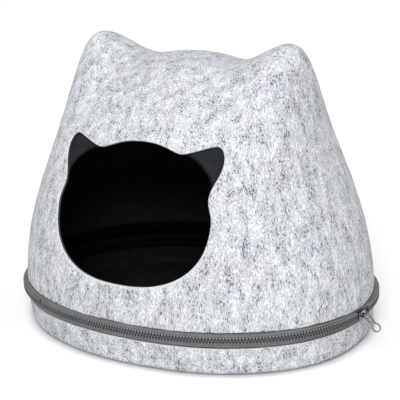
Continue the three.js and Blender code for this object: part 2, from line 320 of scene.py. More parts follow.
def roundEdges(bm, size, steps, angle=1.0, material=-1):
    bmesh.ops.bevel(
        bm, geom=sharpEdges(bm, angle), affect="EDGES", offset=size, offset_type="OFFSET",
        segments=steps, profile=0.5, material=material, clamp_overlap=True,
    )


def makePiece(name, bm, materials, node):
    mesh = toMesh(name, bm)
    for polygon in mesh.polygons:
        polygon.use_smooth = True
    for material in materials:
        mesh.materials.append(material)
    piece = addObject(name, mesh)
    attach(piece, "root")
    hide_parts(node)
    print(name, len(mesh.polygons), "faces")
    return piece


# small helpers for the materials' node trees
def addNode(tree, kind, **values):
    node = tree.nodes.new(kind)
    for key, value in values.items():
        setattr(node, key, value)
    return node


def feed(tree, node, **sockets):
    for key, value in sockets.items():
        socket = node.inputs[int(key[1:])] if key[1:].isdigit() else node.inputs[key.replace("_", " ")]
        if isinstance(value, bpy.types.NodeSocket):
            tree.links.new(value, socket)
        else:
            socket.default_value = value
    return node


def mathNode(tree, operation, a, b=0.0, clamp=False):
    node = addNode(tree, "ShaderNodeMath", operation=operation, use_clamp=clamp)
    return feed(tree, node, i0=a, i1=b).outputs[0]


def softStep(tree, value, low, high, toLow=0.0, toHigh=1.0):
    node = addNode(tree, "ShaderNodeMapRange", interpolation_type="SMOOTHSTEP")
    feed(tree, node, Value=value, From_Min=low, From_Max=high, To_Min=toLow, To_Max=toHigh)
    return node.outputs["Result"]


def mixColour(tree, factor, a, b, blend="MIX"):
    node = addNode(tree, "ShaderNodeMix", data_type="RGBA", blend_type=blend)
    return feed(tree, node, i0=factor, i6=a, i7=b).outputs[2]


def mixValue(tree, factor, a, b):
    node = addNode(tree, "ShaderNodeMix", data_type="FLOAT")
    return feed(tree, node, i0=factor, i2=a, i3=b).outputs[0]


def noiseNode(tree, vector, scale, detail=2.0, roughness=0.5, distortion=0.0):
    node = addNode(tree, "ShaderNodeTexNoise")
    feed(tree, node, Vector=vector, Scale=scale, Detail=detail)
    return feed(tree, node, Roughness=roughness, Distortion=distortion)


def bands(tree, vector, direction, scale, distortion):
    node = addNode(tree, "ShaderNodeTexWave", wave_type="BANDS", bands_direction=direction)
    return feed(tree, node, Vector=vector, Scale=scale, Distortion=distortion, Detail=1.0).outputs["Fac"]


def mapped(tree, vector, scale=(1, 1, 1), location=(0, 0, 0), rotation=(0, 0, 0)):
    node = addNode(tree, "ShaderNodeMapping")
    feed(tree, node, Vector=vector, Scale=scale, Location=location, Rotation=rotation)
    return node.outputs["Vector"]


def splitUp(tree, vector):
    return feed(tree, addNode(tree, "ShaderNodeSeparateXYZ"), Vector=vector).outputs


def bumpNormal(tree, strength, distance, height):
    node = feed(tree, addNode(tree, "ShaderNodeBump"), Strength=strength, Distance=distance, Height=height)
    return node.outputs["Normal"]


def roughened(tree, value, vector, scale, swing):
    # a fine noise on top of a value, so that a border drawn by it is ragged
    ragged = noiseNode(tree, vector, scale, 2.0, 0.6).outputs[0]
    ragged = mathNode(tree, "MULTIPLY", mathNode(tree, "SUBTRACT", ragged, 0.5), swing)
    return mathNode(tree, "ADD", value, ragged)


socketKinds = {1: "NodeSocketFloat", 3: "NodeSocketVector", 4: "NodeSocketColor"}


def newGroup(name, inputs, outputs):
    # a socket's kind follows from its usual value: a number, a vector of three or a colour of four
    tree = bpy.data.node_groups.new(name, "ShaderNodeTree")
    for way, sockets in (("INPUT", inputs), ("OUTPUT", outputs)):
        for socketName, value in sockets.items():
            kind = socketKinds[len(value) if isinstance(value, tuple) else 1]
            socket = tree.interface.new_socket(socketName, in_out=way, socket_type=kind)
            socket.default_value = value
    return tree, tree.nodes.new("NodeGroupInput").outputs, tree.nodes.new("NodeGroupOutput").inputs


# the felt's mix of fibres: noises as size, detail, roughness and distortion, borders as from and to
mix = {
    "hairLine": (1.0, 0.5, 0.4), "clumps": (3.0, 0.55, 0.6), "pale": (2.0, 0.5, 0.8),
    "paleAt": (3.1, 1.7, 0.4), "patches": (110.0, 3.0, 0.55, 0.3), "patchesAt": (0.3, 5.2, 2.4),
    "patchShare": 0.48,
    "darkFrom": (0.538, 0.69), "lightFrom": (0.50, 0.66),
    "hairs": ((0.0, 0.55, "Dark"), (0.9, 0.42, "Light"), (2.2, 0.4, "Dark")),
    "hairDrawn": (1.0, 0.8, 0.3), "hairSize": 320.0, "hairWidth": 0.022,
    "clouds": (26.0, 1.0, 0.5), "fuzz": (1900.0, 2.0, 0.6, 0.5),
    "clumpRise": 0.6, "fuzzRise": 0.5, "hairRise": 0.25,
}


def makeFibreGroup():
    # curly hair lines: a thin band where a soft noise passes its middle value
    tree, given, result = newGroup(
        "fibreLines", {"Vector": (0.0, 0.0, 0.0), "Size": 150.0, "Width": 0.03}, {"Mask": 0.0},
    )
    wave = noiseNode(tree, given["Vector"], given["Size"], *mix["hairLine"]).outputs[0]
    off = mathNode(tree, "ABSOLUTE", mathNode(tree, "SUBTRACT", wave, 0.5))
    tree.links.new(softStep(tree, off, 0.0, given["Width"], 1.0, 0.0), result["Mask"])
    return tree


def makeHeatherGroup(fibreGroup):
    # needled heather felt: dark and white fibre clumps, hair lines and faint dye clouds
    tree, given, result = newGroup(
        "heatherFelt",
        {
            "Vector": (0.0, 0.0, 0.0), "Drawn": (1.0, 1.0, 0.45), "Grain": 620.0, "Clouds": 0.1,
            "Ground": (0.5, 0.5, 0.5, 1), "Dark": (0.1, 0.1, 0.1, 1), "Light": (0.9, 0.9, 0.9, 1),
        },
        {"Color": (0.8, 0.8, 0.8, 1), "Height": 0.0},
    )
    vector, grain = given["Vector"], given["Grain"]
    stretch = addNode(tree, "ShaderNodeVectorMath", operation="MULTIPLY")
    drawn = feed(tree, stretch, i0=vector, i1=given["Drawn"]).outputs[0]
    clumps = noiseNode(tree, drawn, grain, *mix["clumps"]).outputs[0]
    pale = noiseNode(tree, mapped(tree, drawn, location=mix["paleAt"]), grain, *mix["pale"]).outputs[0]
    patches = noiseNode(tree, mapped(tree, drawn, location=mix["patchesAt"]), *mix["patches"]).outputs[0]
    lean = mathNode(tree, "MULTIPLY", mathNode(tree, "SUBTRACT", patches, 0.5), mix["patchShare"])
    darkShare = softStep(tree, mathNode(tree, "ADD", clumps, lean), *mix["darkFrom"])
    lightShare = softStep(tree, mathNode(tree, "SUBTRACT", pale, lean), *mix["lightFrom"])
    colour = mixColour(tree, lightShare, given["Ground"], given["Light"])
    colour = mixColour(tree, darkShare, colour, given["Dark"])
    masks = []
    for turn, share, tone in mix["hairs"]:
        line = addNode(tree, "ShaderNodeGroup", node_tree=fibreGroup)
        turned = mapped(tree, vector, mix["hairDrawn"], (turn, 2 * turn, 0.3), (turn, 0.5 * turn, turn))
        feed(tree, line, Vector=turned, Size=mix["hairSize"], Width=mix["hairWidth"])
        masks.append(line.outputs["Mask"])
        colour = mixColour(tree, mathNode(tree, "MULTIPLY", masks[-1], share), colour, given[tone])
    clouds = noiseNode(tree, vector, *mix["clouds"]).outputs["Color"]
    colour = mixColour(tree, given["Clouds"], colour, clouds, "SOFT_LIGHT")
    fuzz = noiseNode(tree, vector, *mix["fuzz"]).outputs[0]
    height = 0.0
    for part, rise in ((clumps, mix["clumpRise"]), (fuzz, mix["fuzzRise"]), (masks[0], mix["hairRise"])):
        height = mathNode(tree, "ADD", height, mathNode(tree, "MULTIPLY", part, rise))
    tree.links.new(colour, result["Color"])
    tree.links.new(height, result["Height"])
    return tree


fibreGroup = makeFibreGroup()
heatherGroup = makeHeatherGroup(fibreGroup)


def newMaterial(name):
    material = bpy.data.materials.new(name)
    material.use_nodes = True
    tree = material.node_tree
    return material, tree, tree.nodes["Principled BSDF"], addNode(tree, "ShaderNodeTexCoord")


def feltMaterial(name, look, edged=False):
    material, tree, shader, place = newMaterial(name)
    spot = place.outputs["Object"]
    felt = addNode(tree, "ShaderNodeGroup", node_tree=heatherGroup)
    feed(
        tree, felt, Vector=spot, Drawn=look["drawn"], Grain=look["grain"],
        Ground=look["ground"], Dark=look["dark"], Light=look["light"], Clouds=look["clouds"],
    )
    colour = felt.outputs["Color"]
    if "core" in look:
        depth = addNode(tree, "ShaderNodeAttribute", attribute_name="depth").outputs["Fac"]
        core = softStep(tree, roughened(tree, depth, spot, *look["coreRagged"]), *look["coreFrom"])
        colour = mixColour(tree, core, colour, look["core"])
    if edged:
        # next to the doorway's edge the felt is pressed smooth and pale, and the pale band carries a painted
        # highlight that is strongest low on the rim; on the lining the same mix is painted shade, darkening
        # it to near black towards its edge
        away = addNode(tree, "ShaderNodeAttribute", attribute_name="rim").outputs["Fac"]
        away = roughened(tree, away, spot, *look["rimRagged"])
        near = softStep(tree, away, *look["rimReach"], look["rimShare"], 0.0)
        above = softStep(tree, splitUp(tree, spot)["Z"], *look["rimHeights"], 1.0, look["rimAbove"])
        colour = mixColour(tree, mathNode(tree, "MULTIPLY", near, above), colour, look["rim"])
    feed(
        tree, shader, Base_Color=colour,
        Normal=bumpNormal(tree, look["bump"], look["bumpDepth"], felt.outputs["Height"]),
        Roughness=look["roughness"], Sheen_Weight=look["sheen"], Sheen_Roughness=look["sheenSoft"],
        Specular_IOR_Level=look["gloss"],
    )
    return material


greyFelt = {
    "drawn": (1.0, 1.0, 0.40), "grain": 760.0,
    "ground": (0.585, 0.60, 0.635, 1), "dark": (0.105, 0.113, 0.132, 1), "light": (0.90, 0.915, 0.94, 1),
    "clouds": 0.16, "bump": 0.5, "bumpDepth": 0.0006, "roughness": 0.95, "sheen": 0.1, "sheenSoft": 0.6,
    "gloss": 0.2,
    # rim: pale pressed felt by the doorway with a painted highlight; above rimHeights it is cut back by
    # rimAbove, so the lower rim is lightest
    "rim": (0.76, 0.755, 0.74, 1), "rimReach": (0.3, 0.85), "rimRagged": (700.0, 0.5), "rimShare": 0.5,
    "rimAbove": 0.25, "rimHeights": (0.10, 0.15),
}
trayFelt = {**greyFelt, "drawn": (0.9, 0.9, 0.7), "grain": 700.0, "clouds": 0.08}
cutFelt = {
    **greyFelt, "drawn": (1.0, 1.0, 1.0), "ground": (0.62, 0.62, 0.61, 1), "dark": (0.42, 0.42, 0.42, 1),
    "light": (0.8, 0.8, 0.8, 1), "clouds": 0.04,
    "core": (0.05, 0.051, 0.055, 1), "coreFrom": (0.22, 0.34), "coreRagged": (900.0, 0.12),
}
liningFelt = {
    **greyFelt, "drawn": (1.0, 1.0, 0.8), "grain": 900.0,
    "ground": (0.022, 0.0235, 0.026, 1), "dark": (0.017, 0.018, 0.020, 1), "light": (0.033, 0.0345, 0.037, 1),
    "clouds": 0.05, "bump": 0.3, "sheen": 0.0, "gloss": 0.02,
    # rim: painted shade, the lining darkens to near black towards its doorway edge
    "rim": (0.001, 0.001, 0.0012, 1), "rimReach": (0.1, 1.4), "rimShare": 1.0, "rimAbove": 1.0,
}
# the inside is lined in charcoal like the hood; this copy is darker than the lining as painted shade inside
# the house
shadedInsideFelt = {
    **liningFelt, "ground": (0.010, 0.0105, 0.012, 1), "dark": (0.007, 0.0075, 0.009, 1),
    "light": (0.016, 0.0165, 0.018, 1),
}
hoodFelt = feltMaterial("hoodFelt", greyFelt, edged=True)
trayFeltMaterial = feltMaterial("trayFelt", trayFelt)
cutFeltMaterial = feltMaterial("cutFelt", cutFelt)
shadedCharcoal = feltMaterial("shadedCharcoalFelt", shadedInsideFelt)
edgeShadedLining = feltMaterial("charcoalLining", liningFelt, edged=True)
print("felts mixed")


# hood shell and lining
def layRimDistance(bm, edge):
    # how far each point lies from the doorway's edge, in felt thicknesses
    layer = bm.verts.layers.float.new("rim")
    edge = [spot for spot in edge if spot.z > doorway["windowHeights"][0]]
    tree = KDTree(len(edge))
    for index, spot in enumerate(edge):
        tree.insert(spot, index)
    tree.balance()
    for v in bm.verts:
        v[layer] = tree.find(v.co)[2] / hood["felt"]


def makeShell():
    bm, outerFace = hoodSheet(catHead, hood["hem"], 0.0, hood["felt"])
    sharp = set(sharpEdges(bm))
    middle = Vector((0, 0, belt["height"]))
    for face in bm.faces:
        if sum(e in sharp for e in face.edges) >= 2:
            face.material_index = 1 if face.calc_center_median().z > hood["liningHem"] else 0
        # faces turned inward get the darker lining copy: painted shade
        elif face.normal.dot(face.calc_center_median() - middle) < 0:
            face.material_index = 2
    roundEdges(bm, hood["rimRound"], hood["rimSteps"])
    depth = bm.verts.layers.float.new("depth")
    cut = {v for face in bm.faces if face.material_index == 1 for v in face.verts}
    for v in cut:
        v[depth] = outerFace.find_nearest(v.co)[3] / hood["felt"]
    layRimDistance(bm, [v.co.copy() for v in cut])
    shell = makePiece("hoodShell", bm, [hoodFelt, cutFeltMaterial, shadedCharcoal], "hood_shell")


def makeLining():
    bm, outerFace = hoodSheet(plainHead, hood["liningHem"], hood["felt"] + hood["liningGap"], hood["lining"])
    edge = [v.co.copy() for e in sharpEdges(bm) for v in e.verts]
    roundEdges(bm, hood["liningRound"], hood["liningSteps"])
    layRimDistance(bm, edge)
    lining = makePiece("hoodLining", bm, [edgeShadedLining], "hood_lining")


makeShell()
makeLining()


# tray
tray = {
    "rim": 0.0307, "lean": 0.003, "leanPower": 1.3, "corner": 0.0075, "cornerSteps": 8, "floor": 0.004,
    "wallSteps": 8, "rimRound": 0.0012, "rimSteps": 3, "floorRings": 10, "flatBelow": 0.0005, "sagPower": 3,
}


def traySection():
    # from the underside's middle: share of the way out, distance out from the belt, height
    section = []
    cornerOut = -tray["lean"] - tray["corner"]
    rings = tray["floorRings"]

    def addWall(step, inset):
        share = step / tray["wallSteps"]
        height = tray["corner"] + (tray["rim"] - tray["corner"]) * share
        section.append((1, -inset - tray["lean"] * (1 - share) ** tray["leanPower"], height))

    for ring in range(rings):
        section.append((ring / rings, cornerOut, 0.0))
    for step in range(tray["cornerSteps"] + 1):
        angle = math.pi / 2 * step / tray["cornerSteps"]
        out = cornerOut + tray["corner"] * math.sin(angle)
        section.append((1, out, tray["corner"] * (1 - math.cos(angle))))
    for step in range(1, tray["wallSteps"]):
        addWall(step, 0.0)
    section.append((1, 0.0, tray["rim"]))
    section.append((1, -hood["felt"], tray["rim"]))
    inner = tray["corner"] - tray["floor"]
    for step in range(tray["wallSteps"] - 1, 0, -1):
        addWall(step, hood["felt"])
    for step in range(tray["cornerSteps"] + 1):
        angle = math.pi / 2 * (1 - step / tray["cornerSteps"])
        section.append((1, cornerOut + inner * math.sin(angle), tray["corner"] - inner * math.cos(angle)))
    for ring in range(rings - 1, -1, -1):
        section.append((ring / rings, cornerOut, tray["floor"]))
    return section


def makeTray():
    section = traySection()
    rows = len(section) - 1
    bm = bmesh.new()
    bmesh.ops.create_grid(bm, x_segments=hood["around"], y_segments=rows, size=0.5)
    insideFrom = [height for share, out, height in section].index(tray["rim"]) + 1
    # inside faces get the darker lining copy, painted shade, and the rim row gets the cut felt
    for face in bm.faces:
        row = (face.calc_center_median().y + 0.5) * rows
        face.material_index = 1 if row > insideFrom else 2 if row > insideFrom - 1 else 0
    for v in bm.verts:
        share, out, height = section[round((v.co.y + 0.5) * rows)]
        turn = v.co.x + 0.5
        flat = beltPoint(turn, out) * share
        if height > tray["flatBelow"] and share == 1:
            flat = beltPoint(turn, out + unevenness(Vector((flat.x, flat.y, height))))
        drop = rimSag["drop"] * hump(turn, rimSag) * (height / tray["rim"]) ** tray["sagPower"]
        v.co = (flat.x, flat.y, height - drop)
    closeUp(bm, touching / 10)
    roundEdges(bm, tray["rimRound"], tray["rimSteps"])
    finishes = [trayFeltMaterial, shadedCharcoal, cutFeltMaterial]
    piece = makePiece("baseTray", bm, finishes, "base_tray")


makeTray()

# zip tapes
tape = {
    "thickness": 0.0009, "around": 432, "curveSteps": 3,
    "joinTurn": 0.66, "lapTurns": 0.007, "lapRise": 0.0004, "front": 0.77,
    "ribbedFrom": (0.12, 0.17), "foldPoint": 5, "meet": 0.0002,
    "parted": {"middle": -0.0035, "reach": 0.006}, "ribsPerMetre": 1000.0, "ribsAcross": 24.0,
    "bump": 0.35, "bumpDepth": 0.0002, "roughness": 0.62,
}
# section of each half: distance out from the belt, distance from the zip's middle
upperLine = [
    (0.0032, 0.001), (0.0030, 0.0026), (0.0024, 0.0042), (0.0010, 0.0053),
    (-0.0014, 0.0058), (-0.0046, 0.0060), (-0.005, 0.0075), (-0.005, 0.016),
]
lowerLine = [
    (0.0032, 0.001), (0.0030, 0.0028), (0.0026, 0.0048), (0.0017, 0.0071), (0.0004, 0.0085),
    (-0.0016, 0.0091), (-0.0046, 0.0096), (-0.0052, 0.0118), (-0.0052, 0.016),
]


# the weave's pattern and the tape's painted shade and light: fine ribs as size and distortion, borders as
# from, to and the two values there;
# the borders are in the tape's own steps, about a millimetre along it and a 24th of its section across
twillAndShade = {
    "along": (0.5, 0.4), "across": (0.6, 0.3), "wide": (0.09, 0.5), "dustSize": 60.0,
    "dust": (0.3, 0.7, 0.88, 1.1), "brightest": 1.1, "ribsFull": 0.8,
    "groove": (0.2, 1.5, 0.34, 1.0), "grooveShadeFront": (0.0, 1.0, 0.72, 1.0), "behind": (2.0, 5.4, 0.4, 1.0),
    "strip": (0.5, 2.0), "stripes": (0.2, 0.8, 0.45, 1.5), "slitShade": (0.6, 2.2, 0.12, 1.0),
    "join": (0.2, 1.0, 0.45, 1.0), "hem": (0.0, 1.8, 0.4, 1.0),
}


def makeWeaveAndShadeGroup():
    # twill of the zip's tape: fine ribs along it and across it, with worn and dusty patches; painted shade in
    # the groove beside the teeth, in the slit, behind the teeth and under the hood's hem, and painted light
    # that brightens the tape's front
    tree, given, result = newGroup(
        "tapeWeaveAndShade",
        {
            "Along": (0.0, 0.0, 0.0), "Vector": (0.0, 0.0, 0.0), "Colour": (0.2, 0.2, 0.2, 1), "Ribs": 0.2,
            "Groove": 6.0, "Ends": 0.0, "Join": 0.0, "Hem": 30.0, "Faded": 1.0, "Striped": 0.0,
        },
        {"Color": (0.8, 0.8, 0.8, 1), "Height": 0.0},
    )
    across = splitUp(tree, given["Along"])["Y"]
    beyond = mathNode(tree, "SUBTRACT", across, given["Groove"])
    grid = mathNode(
        tree, "MULTIPLY",
        bands(tree, given["Along"], "X", *twillAndShade["along"]), bands(tree, given["Along"], "Y", *twillAndShade["across"]),
    )
    dust = softStep(tree, noiseNode(tree, given["Vector"], twillAndShade["dustSize"]).outputs[0], *twillAndShade["dust"])
    low = mathNode(tree, "SUBTRACT", twillAndShade["brightest"], given["Ribs"])
    ribs = softStep(tree, grid, 0.0, twillAndShade["ribsFull"], low, twillAndShade["brightest"])
    # painted shade along the groove beside the teeth, weaker at the front
    groove = softStep(tree, mathNode(tree, "ABSOLUTE", beyond), *twillAndShade["groove"])
    groove = mixValue(tree, given["Ends"], softStep(tree, groove, *twillAndShade["grooveShadeFront"]), groove)
    # the stripes and the shade behind the teeth take turns beyond the groove
    strip = mathNode(tree, "MULTIPLY", softStep(tree, beyond, *twillAndShade["strip"]), given["Striped"])
    stripes = softStep(tree, bands(tree, given["Along"], "X", *twillAndShade["wide"]), *twillAndShade["stripes"])
    stripes = mixValue(tree, strip, 1.0, stripes)
    behind = mixValue(tree, strip, softStep(tree, across, *twillAndShade["behind"]), 1.0)
    # painted shade at the tapes' lips, in the slit between them
    slitShade = softStep(tree, across, *twillAndShade["slitShade"])
    join = softStep(tree, given["Join"], *twillAndShade["join"])
    # painted shadow of the hood's hem on the tape, at the ends only
    hemShadow = softStep(tree, mathNode(tree, "SUBTRACT", given["Hem"], across), *twillAndShade["hem"])
    hem = mixValue(tree, given["Ends"], 1.0, hemShadow)
    # painted light, brightening the tape towards the front
    faded = mixValue(tree, given["Ends"], given["Faded"], 1.0)
    shade = dust
    for part in (ribs, behind, groove, stripes, join, hem, faded, slitShade):
        shade = mathNode(tree, "MULTIPLY", shade, part)
    tone = addNode(tree, "ShaderNodeVectorMath", operation="SCALE")
    feed(tree, tone, i0=given["Colour"], Scale=shade)
    tree.links.new(tone.outputs[0], result["Color"])
    tree.links.new(grid, result["Height"])
    return tree


weaveAndShadeGroup = makeWeaveAndShadeGroup()


def tapeMaterial(name, look):
    material, tree, shader, place = newMaterial(name)
    ribsRound = belt["length"] * tape["ribsPerMetre"]
    ribs = mapped(tree, place.outputs["UV"], (ribsRound, tape["ribsAcross"], 1.0))
    turn = splitUp(tree, place.outputs["UV"])["X"]
    pastFront = mathNode(tree, "SUBTRACT", turn, tape["front"])
    ends = softStep(tree, mathNode(tree, "ABSOLUTE", pastFront), *tape["ribbedFrom"])
    striped = softStep(tree, mathNode(tree, "MULTIPLY", pastFront, look["stripedSide"]), *tape["ribbedFrom"])
    fromJoin = mathNode(tree, "ABSOLUTE", mathNode(tree, "SUBTRACT", turn, tape["joinTurn"]))
    weave = addNode(tree, "ShaderNodeGroup", node_tree=weaveAndShadeGroup)
    feed(
        tree, weave, Along=ribs, Vector=place.outputs["Object"], Colour=look["colour"], Ribs=look["ribs"],
        Groove=look["groove"], Hem=look["hem"], Faded=look["faded"], Ends=ends, Striped=striped,
        Join=mathNode(tree, "MULTIPLY", fromJoin, ribsRound),
    )
    feed(
        tree, shader, Base_Color=weave.outputs["Color"],
        Normal=bumpNormal(tree, tape["bump"], tape["bumpDepth"], weave.outputs["Height"]),
        Roughness=tape["roughness"], Sheen_Weight=look["sheen"], Specular_IOR_Level=look["gloss"],
    )
    return material


# groove and hem give where the painted groove shade and hem shadow lie, in the tape's steps across
upperTape = {
    "colour": (0.168, 0.172, 0.18, 1), "ribs": 0.28, "groove": 5.8, "gloss": 0.35, "sheen": 0.1,
    "hem": 11.6, "faded": 1.0, "stripedSide": -1,
}
# the lower tape is painted brighter at the front, standing in for light
lowerTape = {
    **upperTape, "colour": (0.155, 0.153, 0.166, 1),
    "groove": 1.2, "hem": 30.0, "faded": 1.4, "stripedSide": 1,
}
# a darker copy of the tape for its faces that turn inward or lie past the fold: painted shade
shadedInsideTape = {**upperTape, "colour": (0.009, 0.0095, 0.011, 1), "ribs": 0.5, "gloss": 0.03, "sheen": 0.0}
upperTapeMaterial = tapeMaterial("upperTape", upperTape)
lowerTapeMaterial = tapeMaterial("lowerTape", lowerTape)
shadedInsideTapeMaterial = tapeMaterial("shadedInsideTape", shadedInsideTape)


def makeTape(name, side, line, material, node):
    curve = smoothLine(line, tape["curveSteps"])
    rows = len(curve) - 1
    bm = bmesh.new()
    bm.loops.layers.uv.new("uv")
    bmesh.ops.create_grid(bm, x_segments=tape["around"], y_segments=rows, size=0.5, calc_uvs=True)
    sag = hemSag if side > 0 else rimSag
    for v in bm.verts:
        turn = v.co.x + 0.5
        out, away = curve[round((v.co.y + 0.5) * rows)]
        lap = tape["lapRise"] if 0 <= turn - tape["joinTurn"] < tape["lapTurns"] else 0
        flat = beltPoint(turn, out + lap)
        edge, inner = line[0][1], line[1][1]
        closed = 1 - hump(turn, tape["parted"])
        away -= min(max((inner - away) / (inner - edge), 0), 1) * (edge - tape["meet"]) * closed
        fold = line[tape["foldPoint"]][1]
        drop = sag["drop"] * hump(turn, sag) * (min(away, fold) / fold) ** 2
        v.co = (flat.x, flat.y, belt["height"] + side * away - drop)
    if side < 0:
        bmesh.ops.reverse_faces(bm, faces=bm.faces[:])
    closeUp(bm, touching / 10)
    bmesh.ops.solidify(bm, geom=bm.faces[:], thickness=tape["thickness"])
    # faces that turn inward, or lie past the fold under the felt, get the darker tape copy: painted shade
    for face in bm.faces:
        middle = face.calc_center_median()
        facesIn = face.normal.xy.dot(middle.xy.normalized()) + side * face.normal.z < 0
        if facesIn or abs(middle.z - belt["height"]) > line[tape["foldPoint"]][1]:
            face.material_index = 1
    piece = makePiece(name, bm, [material, shadedInsideTapeMaterial], node)


def smoothLine(points, steps):
    # a soft curve through the points
    line = []
    last = len(points) - 1
    for index in range(last):
        before, a, b, after = (Vector(points[min(max(index + k, 0), last)]) for k in (-1, 0, 1, 2))
        for step in range(steps):
            t = step / steps
            line.append(0.5 * (
                2 * a + (b - before) * t + (2 * before - 5 * a + 4 * b - after) * t * t
                + (3 * a - before - 3 * b + after) * t ** 3
            ))
    line.append(Vector(points[-1]))
    return line


makeTape("tapeUpper", 1, upperLine, upperTapeMaterial, "zip_tape_upper")
makeTape("tapeLower", -1, lowerLine, lowerTapeMaterial, "zip_tape_lower")

# zip teeth
tooth = {
    "pitch": 0.0032, "width": 0.0019, "foot": 0.0036, "shoulder": 0.0012, "headTip": -0.0007,
    "inner": 0.0027, "outer": 0.0051, "round": 0.00035, "sharp": 0.6, "flankFrom": 0.6, "joinGap": 0.002,
    "steps": ((0.4, 0.6), (0.9, 1.5), (0.6, 0.8)),  # neck, head and tip: share of the drop, spread
    "thinned": 0.92, "speckle": 900.0, "speckleFrom": (0.35, 0.65),
    # where and how speckled the painted highlight on the teeth's outer ends lies
    "tipHighlightFrom": (0.0018, 0.0032), "tipHighlightSpeckle": (0.35, 0.6, 0.3, 1.0),
    "bump": 0.1, "bumpDepth": 0.0001, "roughness": 0.38,
}
# the lightest colour is a painted highlight on the teeth's outer ends
toothFront = {
    "dark": (0.10, 0.10, 0.105, 1), "light": (0.15, 0.15, 0.155, 1), "reflectionPatch": (0.29, 0.29, 0.295, 1),
}
# darker copy for the teeth's flanks: painted shade in the gaps between them
toothFlankShade = {
    "dark": (0.035, 0.035, 0.037, 1), "light": (0.055, 0.055, 0.057, 1), "reflectionPatch": (0.13, 0.13, 0.132, 1),
}


def toothMaterial(name, look):
    material, tree, shader, place = newMaterial(name)
    spot = place.outputs["Object"]
    shade = noiseNode(tree, spot, tooth["speckle"]).outputs[0]
    apart = mathNode(tree, "ABSOLUTE", mathNode(tree, "SUBTRACT", splitUp(tree, spot)["Z"], belt["height"]))
    colour = mixColour(tree, softStep(tree, shade, *tooth["speckleFrom"]), look["dark"], look["light"])
    # painted highlight: lighter speckled patches on each tooth's outer end, away from the zip's middle
    reflectionPatch = softStep(tree, apart, *tooth["tipHighlightFrom"])
    reflectionPatch = mathNode(tree, "MULTIPLY", reflectionPatch, softStep(tree, shade, *tooth["tipHighlightSpeckle"]))
    colour = mixColour(tree, reflectionPatch, colour, look["reflectionPatch"])
    normal = bumpNormal(tree, tooth["bump"], tooth["bumpDepth"], shade)
    feed(tree, shader, Base_Color=colour, Normal=normal, Roughness=tooth["roughness"])
    return material


def toothMesh():
    bm = bmesh.new()
    depth = tooth["outer"] - tooth["inner"]
    height = tooth["foot"] - tooth["shoulder"]
    bmesh.ops.create_cube(bm, size=1)
    bmesh.ops.scale(bm, vec=(tooth["width"], depth, height), verts=bm.verts[:])
    middle = Vector((0, (tooth["outer"] + tooth["inner"]) / 2, (tooth["foot"] + tooth["shoulder"]) / 2))
    bmesh.ops.translate(bm, vec=middle, verts=bm.verts[:])
    bottom = min(bm.faces, key=lambda f: f.calc_center_median().z)
    wholeDrop = sum(drop for drop, spread in tooth["steps"])
    for drop, spread in tooth["steps"]:
        bottom = bmesh.ops.extrude_discrete_faces(bm, faces=[bottom])["faces"][0]
        fall = (tooth["shoulder"] - tooth["headTip"]) * drop / wholeDrop
        back = Matrix.Translation(-bottom.calc_center_median())
        bmesh.ops.translate(bm, vec=(0, 0, -fall), verts=bottom.verts[:])
        bmesh.ops.scale(bm, vec=(spread, tooth["thinned"], 1), verts=bottom.verts[:], space=back)
    roundEdges(bm, tooth["round"], 1, tooth["sharp"])
    # flanks facing along the zip take the darker copy: painted shade
    for face in bm.faces:
        face.material_index = 1 if abs(face.normal.x) > tooth["flankFrom"] else 0
    return toMesh("tooth", bm)


def beltFrame(turn, side):
    # x along the zip, y out, z away from the zip's middle
    step = 1e-4
    along = (beltPoint(turn + step) - beltPoint(turn - step)).normalized()
    flat = beltPoint(turn)
    out = Vector((along.y, -along.x))
    return Matrix((
        (along.x * side, out.x, 0, flat.x),
        (along.y * side, out.y, 0, flat.y),
        (0, 0, side, belt["height"]),
        (0, 0, 0, 1),
    ))


def evenTurns(count):
    fine = 2000
    along = lineLengths([beltPoint(i / fine) for i in range(fine + 1)])
    turns, segment = [], 0
    for index in range(count):
        reach = along[-1] * index / count
        while along[segment + 1] < reach:
            segment += 1
        share = (reach - along[segment]) / (along[segment + 1] - along[segment])
        turns.append((segment + share) / fine)
    return turns


def makeTeeth(name, side, materials, node):
    template = toothMesh()
    bm = bmesh.new()
    count = round(belt["length"] / tooth["pitch"])
    turns = evenTurns(count * 2)[(0 if side > 0 else 1)::2]
    intoSlider = sliderPlace().inverted()
    for turn in turns:
        flat = beltPoint(turn)
        spot = intoSlider @ Vector((flat.x, flat.y, belt["height"]))
        bareFrom, bareTo = slider["toothless"]
        bare = bareFrom < -spot.x < bareTo and abs(spot.y) < bareTo
        if bare or 0 <= turn - tape["joinTurn"] < tooth["joinGap"]:
            continue
        copy = template.copy()
        copy.transform(beltFrame(turn, side))
        bm.from_mesh(copy)
        bpy.data.meshes.remove(copy)
    bmesh.ops.recalc_face_normals(bm, faces=bm.faces[:])
    makePiece(name, bm, materials, node)


